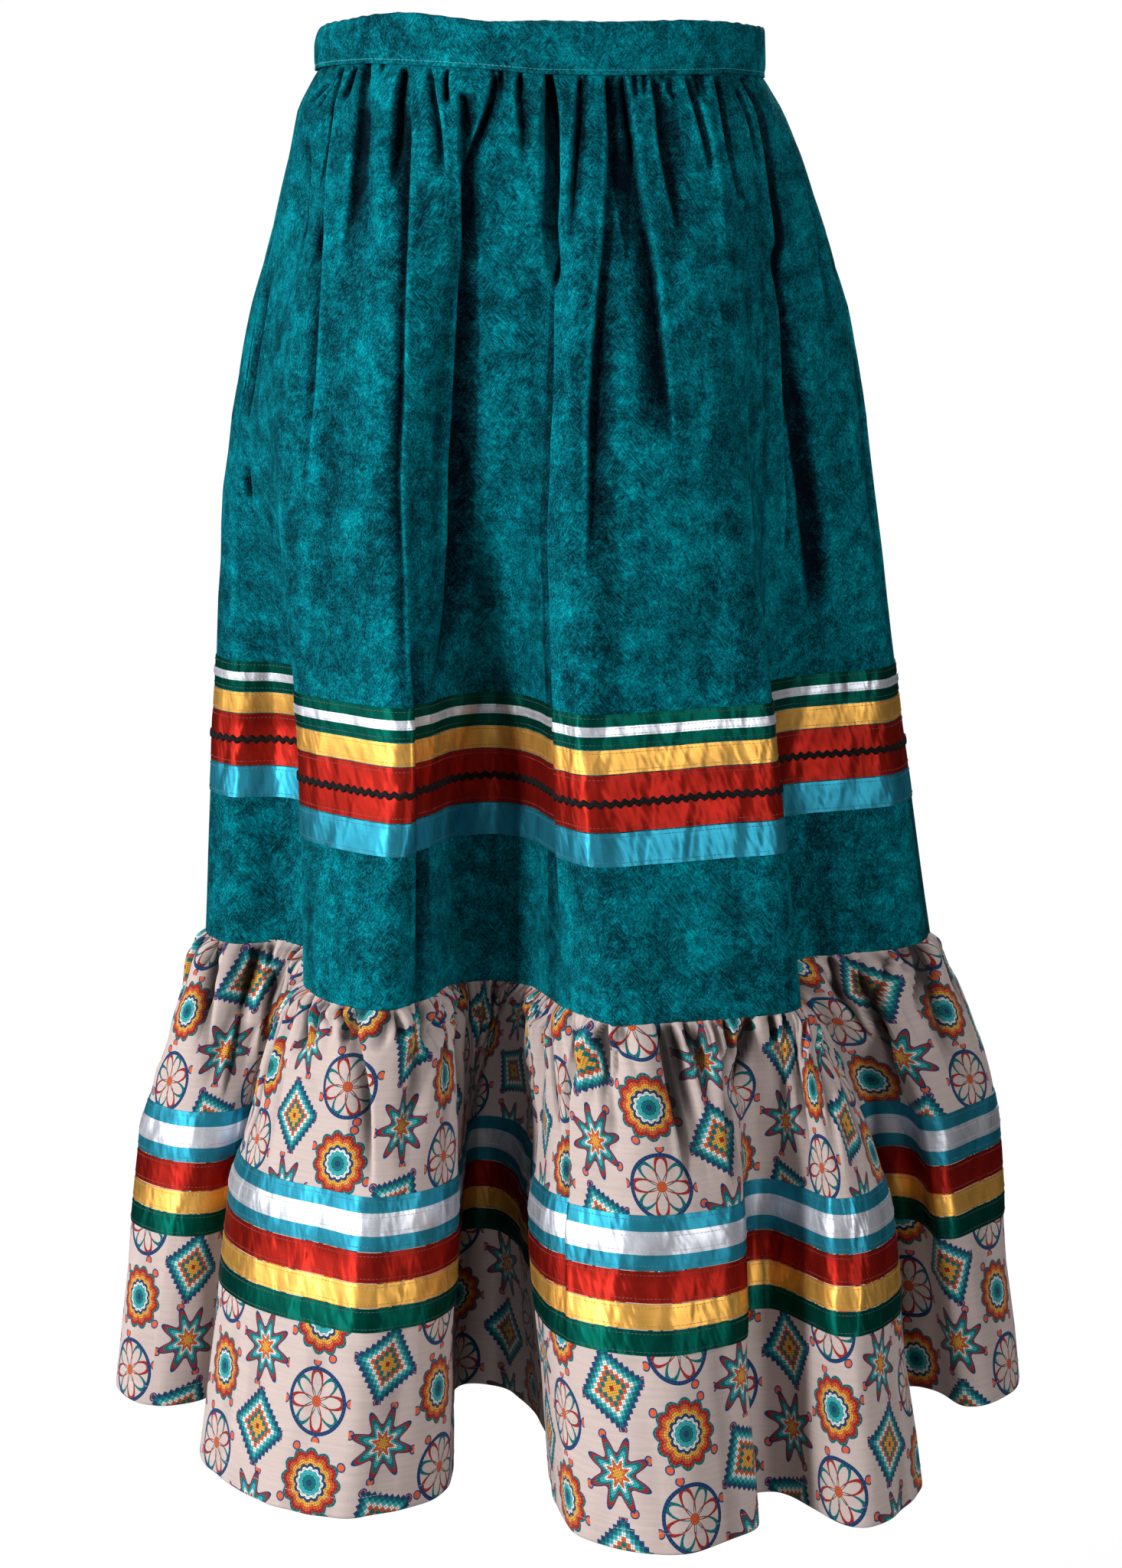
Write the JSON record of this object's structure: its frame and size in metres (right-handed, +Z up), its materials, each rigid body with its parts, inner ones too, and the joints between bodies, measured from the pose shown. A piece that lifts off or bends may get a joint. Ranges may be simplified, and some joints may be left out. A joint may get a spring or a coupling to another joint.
{
  "type": "ribbon skirt",
  "caption": "Long hollow ribbon skirt as worn: gathered teal tier on a waistband, gathered printed hem ruffle, and coloured satin ribbons sewn all round both.",
  "frame": {"origin": "middle of the waist opening, halfway up the waistband, where the wearer holds the skirt", "axes": "+Z up; the front faces -Y; +X is the wearer's left, on the right as seen from the front"},
  "size_m": [0.6875, 0.5482, 1.012],
  "materials": {
    "teal_cloth": "brushed suede-like cotton, mottled in lighter and darker teal, matt",
    "printed_cotton": "plain-woven cotton, blush ground with an all-over print, matt",
    "green_satin": "dark green satin ribbon, glossy",
    "white_satin": "white satin ribbon, glossy",
    "gold_satin": "gold-yellow satin ribbon, glossy",
    "red_satin": "brick-red satin ribbon, glossy",
    "turquoise_satin": "turquoise satin ribbon, glossy",
    "black_braid": "black cotton rickrack braid, matt"
  },
  "bodies": {
    "root": {"waistband": "teal_cloth", "skirt_front": "teal_cloth", "skirt_back": "teal_cloth", "ruffle_front": "printed_cotton", "ruffle_back": "printed_cotton", "upper_ribbon_green": "green_satin", "upper_ribbon_white": "white_satin", "upper_ribbon_gold": "gold_satin", "upper_ribbon_red": "red_satin", "upper_rickrack": "black_braid", "upper_ribbon_turquoise": "turquoise_satin", "lower_ribbon_turquoise": "turquoise_satin", "lower_ribbon_white": "white_satin", "lower_ribbon_red": "red_satin", "lower_ribbon_gold": "gold_satin", "lower_ribbon_green": "green_satin"}
  },
  "joints": []
}
